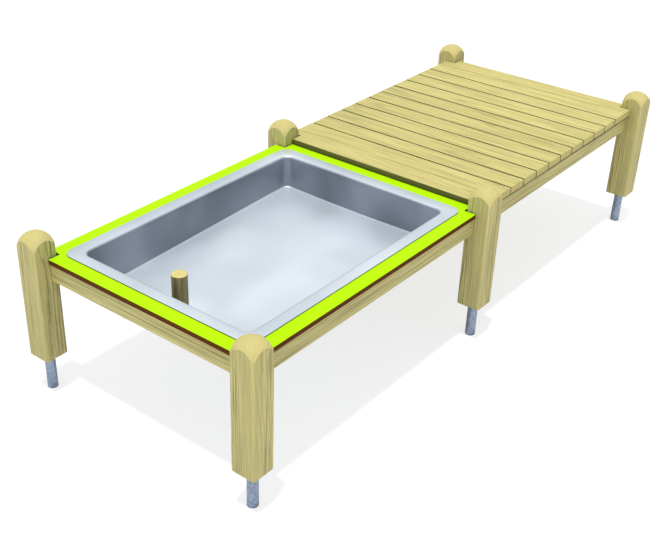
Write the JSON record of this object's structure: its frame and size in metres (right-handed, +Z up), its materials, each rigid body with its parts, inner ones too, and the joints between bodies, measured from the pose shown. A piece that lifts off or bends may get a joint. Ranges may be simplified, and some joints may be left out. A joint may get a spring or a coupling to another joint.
{
  "type": "sand and water table",
  "caption": "Outdoor play table on round-topped timber posts: a steel basin with a drain plug, set in a coloured panel, beside a slatted timber deck",
  "frame": {"origin": "bottom centre of the whole table, on the ground under the middle cross rail", "axes": "+Z up, +X from the basin end to the deck end along the table, +Y across it to the back long side"},
  "size_m": [2.641, 1.049, 0.6234],
  "materials": {
    "pine": "planed pressure-treated softwood, faint green cast, satin",
    "deck_pine": "planed pale softwood, matt",
    "lime_panel": "lime green facing on a brown compact core, semi-gloss",
    "satin_steel": "satin stainless steel sheet",
    "galvanised_steel": "hot-dip galvanised, dull",
    "brass": "turned brass",
    "black_rubber": "matt black rubber"
  },
  "bodies": {
    "frame": {"post_1": "pine", "post_2": "pine", "post_3": "pine", "post_4": "pine", "post_5": "pine", "post_6": "pine", "side_rail_basin_front": "pine", "side_rail_basin_back": "pine", "side_rail_deck_front": "pine", "side_rail_deck_back": "pine", "end_rail_basin": "pine", "cross_rail_middle": "pine", "end_rail_deck": "pine", "panel_batten_front": "pine", "panel_batten_back": "pine", "deck_batten_front": "pine", "deck_batten_back": "pine", "deck_board_01": "deck_pine", "deck_board_02": "deck_pine", "deck_board_03": "deck_pine", "deck_board_04": "deck_pine", "deck_board_05": "deck_pine", "deck_board_06": "deck_pine", "deck_board_07": "deck_pine", "deck_board_08": "deck_pine", "deck_board_09": "deck_pine", "deck_board_10": "deck_pine", "deck_board_11": "deck_pine", "anchor_tube_1": "galvanised_steel", "anchor_tube_2": "galvanised_steel", "anchor_tube_3": "galvanised_steel", "anchor_tube_4": "galvanised_steel", "anchor_tube_5": "galvanised_steel", "anchor_tube_6": "galvanised_steel", "anchor_screw_1": "galvanised_steel", "anchor_screw_2": "galvanised_steel", "anchor_screw_3": "galvanised_steel", "anchor_screw_4": "galvanised_steel", "anchor_screw_5": "galvanised_steel", "anchor_screw_6": "galvanised_steel", "basin_nut_1": "galvanised_steel", "basin_nut_2": "galvanised_steel", "basin_nut_3": "galvanised_steel", "basin_nut_4": "galvanised_steel", "basin_nut_5": "galvanised_steel", "basin_nut_6": "galvanised_steel", "panel_batten_screw_front": "galvanised_steel", "panel_batten_screw_back": "galvanised_steel", "deck_batten_screw_front": "galvanised_steel", "deck_batten_screw_back": "galvanised_steel", "table_panel": "lime_panel", "basin": "satin_steel", "drain_fitting": "brass", "drain_locknut": "brass", "basin_gasket": "black_rubber", "drain_seal": "black_rubber"},
    "plug": {"plug_dowel": "pine", "plug_stopper": "black_rubber", "plug_screw": "satin_steel"}
  },
  "joints": [
    {"name": "plug_lift", "type": "slide", "parent": "frame", "child": "plug", "axis": [0, 0, 1], "range_m": [0, 0.22]}
  ]
}
